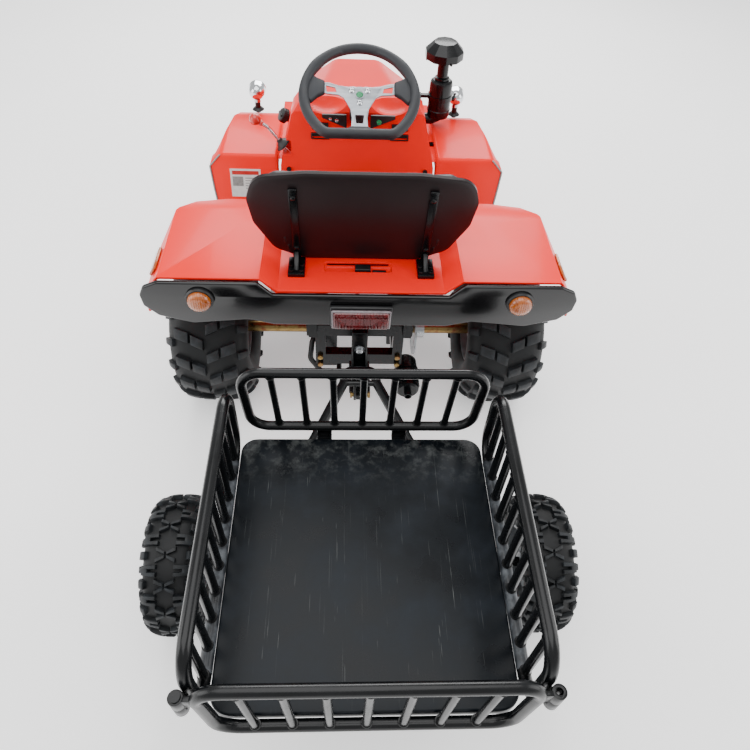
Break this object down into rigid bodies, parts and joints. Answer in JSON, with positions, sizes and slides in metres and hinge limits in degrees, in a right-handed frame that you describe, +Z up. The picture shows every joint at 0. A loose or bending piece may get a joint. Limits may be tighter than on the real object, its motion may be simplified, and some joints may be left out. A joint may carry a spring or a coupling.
{
  "type": "youth utility tractor with towed box trailer",
  "caption": "Small red ride-on utility tractor with a raked steering wheel, bucket seat and exhaust stack, towing a black box trailer with barred sides.",
  "frame": {"origin": "on the ground under the rear axle, midway between the tailgate and the front bumper and midway across", "axes": "+Y forward in the direction of travel, +X to the driver's right, +Z up"},
  "size_m": [0.97, 2.039, 0.7413],
  "materials": {
    "red_plastic": "glossy moulded bodywork plastic",
    "gloss_black_plastic": "glossy black moulding",
    "black_plastic": "satin black plastic",
    "amber_plastic": "clear amber lens",
    "red_lens": "clear red lens",
    "black_paint": "gloss black paint over steel tube",
    "tray_paint": "black paint scuffed by loads",
    "engine_alloy": "cast alloy",
    "zinc_steel": "yellow zinc passivated steel",
    "chrome_plate": "bright chrome",
    "grey_wheel_paint": "silver grey wheel paint",
    "tyre_rubber": "knobbly off-road tyre",
    "seat_vinyl": "black grained vinyl over foam",
    "seat_plastic": "smooth dark brown-black plastic",
    "grip_foam": "dark grey moulded grip",
    "spoke_alloy": "satin alloy plate",
    "red_knob_plastic": "red ball knob"
  },
  "bodies": {
    "tractor": {"amber_lenses": "amber_plastic", "axle_carrier": "black_paint", "chassis_frame": "black_paint", "console_shell": "red_plastic", "dash_panel": "black_plastic", "engine": "engine_alloy", "footboards": "black_paint", "front_axle_beam": "black_paint", "front_bumper": "black_paint", "front_fender_left": "red_plastic", "front_fender_right": "red_plastic", "front_grille": "black_plastic", "fuel_tank": "black_plastic", "headlamp_heads": "chrome_plate", "hitch_pin": "zinc_steel", "hitch_post": "black_paint", "hood_shell": "red_plastic", "lamp_bodies": "black_plastic", "muffler": "black_paint", "rear_fender_shell": "red_plastic", "rear_valance": "gloss_black_plastic", "seat_back_pad": "seat_vinyl", "seat_back_shell": "seat_plastic", "seat_base_shell": "seat_plastic", "seat_brackets": "black_paint", "seat_cushion": "seat_vinyl", "stack_body": "black_paint", "tail_lamp_lens": "red_lens"},
    "rear_axle": {"rear_axle_shaft": "zinc_steel", "axle_discs": "zinc_steel", "rear_rims": "grey_wheel_paint", "rear_tyre_left": "tyre_rubber", "rear_tyre_right": "tyre_rubber"},
    "steering_wheel": {"steering_shaft": "black_paint", "steering_rim": "grip_foam", "steering_spokes": "spoke_alloy"},
    "left_knuckle": {"steering_knuckle_left": "black_paint"},
    "front_wheel_left": {"front_rim_left": "grey_wheel_paint", "front_tyre_left": "tyre_rubber"},
    "trailer_wheel_left": {"trailer_rim_left": "grey_wheel_paint", "trailer_tyre_left": "tyre_rubber"},
    "right_knuckle": {"steering_knuckle_right": "black_paint"},
    "front_wheel_right": {"front_rim_right": "grey_wheel_paint", "front_tyre_right": "tyre_rubber"},
    "trailer_wheel_right": {"trailer_rim_right": "grey_wheel_paint", "trailer_tyre_right": "tyre_rubber"},
    "tie_rod": {"tie_rod": "zinc_steel"},
    "shift_lever": {"shift_lever": "chrome_plate", "shift_knob": "red_knob_plastic"},
    "brake_pedal": {"brake_pedal": "black_paint"},
    "throttle_pedal": {"throttle_pedal": "black_paint"},
    "fuel_cap": {"fuel_cap": "black_plastic"},
    "hitch_coupler": {"hitch_coupler": "black_paint"},
    "trailer": {"drawbar": "black_paint", "cargo_tray": "tray_paint", "trailer_chassis": "black_paint", "side_rack_left": "black_paint", "side_rack_right": "black_paint", "front_rack": "black_paint"},
    "tailgate": {"tailgate": "black_paint"}
  },
  "joints": [
    {"name": "rear_axle_spin", "type": "hinge", "parent": "tractor", "child": "rear_axle", "pos_m": [0, 0, 0.203], "axis": [-1, 0, 0], "continuous": true},
    {"name": "steering_turn", "type": "hinge", "parent": "tractor", "child": "steering_wheel", "pos_m": [0, 0.45, 0.633], "axis": [0, -0.4384, 0.8988], "range_deg": [-28, 28]},
    {"name": "left_knuckle_turn", "type": "hinge", "parent": "tractor", "child": "left_knuckle", "pos_m": [-0.25, 0.69, 0.165], "axis": [0, 0, 1], "range_deg": [-22, 22]},
    {"name": "right_knuckle_turn", "type": "hinge", "parent": "tractor", "child": "right_knuckle", "pos_m": [0.25, 0.69, 0.165], "axis": [0, 0, 1], "range_deg": [-22, 22]},
    {"name": "tie_rod_slide", "type": "slide", "parent": "tractor", "child": "tie_rod", "axis": [1, 0, 0], "range_m": [-0.0285, 0.0285]},
    {"name": "front_left_spin", "type": "hinge", "parent": "left_knuckle", "child": "front_wheel_left", "pos_m": [-0.35, 0.69, 0.165], "axis": [-1, 0, 0], "continuous": true},
    {"name": "front_right_spin", "type": "hinge", "parent": "right_knuckle", "child": "front_wheel_right", "pos_m": [0.35, 0.69, 0.165], "axis": [-1, 0, 0], "continuous": true},
    {"name": "shift_lever_swing", "type": "hinge", "parent": "tractor", "child": "shift_lever", "pos_m": [-0.15, 0.52, 0.36], "axis": [-1, 0, 0], "range_deg": [-9, 9]},
    {"name": "brake_pedal_press", "type": "hinge", "parent": "tractor", "child": "brake_pedal", "pos_m": [-0.19, 0.392, 0.219], "axis": [-1, 0, 0], "range_deg": [0, 18], "stiffness_Nm_per_rad": 3, "springref_deg": -8.59},
    {"name": "throttle_pedal_press", "type": "hinge", "parent": "tractor", "child": "throttle_pedal", "pos_m": [0.19, 0.392, 0.219], "axis": [-1, 0, 0], "range_deg": [0, 18], "stiffness_Nm_per_rad": 3, "springref_deg": -8.59},
    {"name": "fuel_cap_unscrew", "type": "hinge", "parent": "tractor", "child": "fuel_cap", "pos_m": [-0.215, 0.618, 0.48], "axis": [-0.8083, -0.2371, 0.5389], "range_deg": [0, 90]},
    {"name": "hitch_yaw", "type": "hinge", "parent": "tractor", "child": "hitch_coupler", "pos_m": [0, -0.255, 0.28], "axis": [0, 0, 1], "range_deg": [-35, 35]},
    {"name": "hitch_pitch", "type": "hinge", "parent": "hitch_coupler", "child": "trailer", "pos_m": [0, -0.302, 0.2798], "axis": [1, 0, 0], "range_deg": [-8, 8]},
    {"name": "tailgate_swing", "type": "hinge", "parent": "trailer", "child": "tailgate", "pos_m": [-0.266, -1.006, 0.46], "axis": [0, 0, -1], "range_deg": [0, 100]},
    {"name": "trailer_left_spin", "type": "hinge", "parent": "trailer", "child": "trailer_wheel_left", "pos_m": [-0.376, -0.655, 0.146], "axis": [-1, 0, 0], "continuous": true},
    {"name": "trailer_right_spin", "type": "hinge", "parent": "trailer", "child": "trailer_wheel_right", "pos_m": [0.376, -0.655, 0.146], "axis": [-1, 0, 0], "continuous": true}
  ],
  "couplings": [
    {"joint": "left_knuckle_turn", "follows": "steering_turn", "ratio": 0.785},
    {"joint": "right_knuckle_turn", "follows": "steering_turn", "ratio": 0.785},
    {"joint": "tie_rod_slide", "follows": "steering_turn", "m_per_rad": 0.0575}
  ]
}
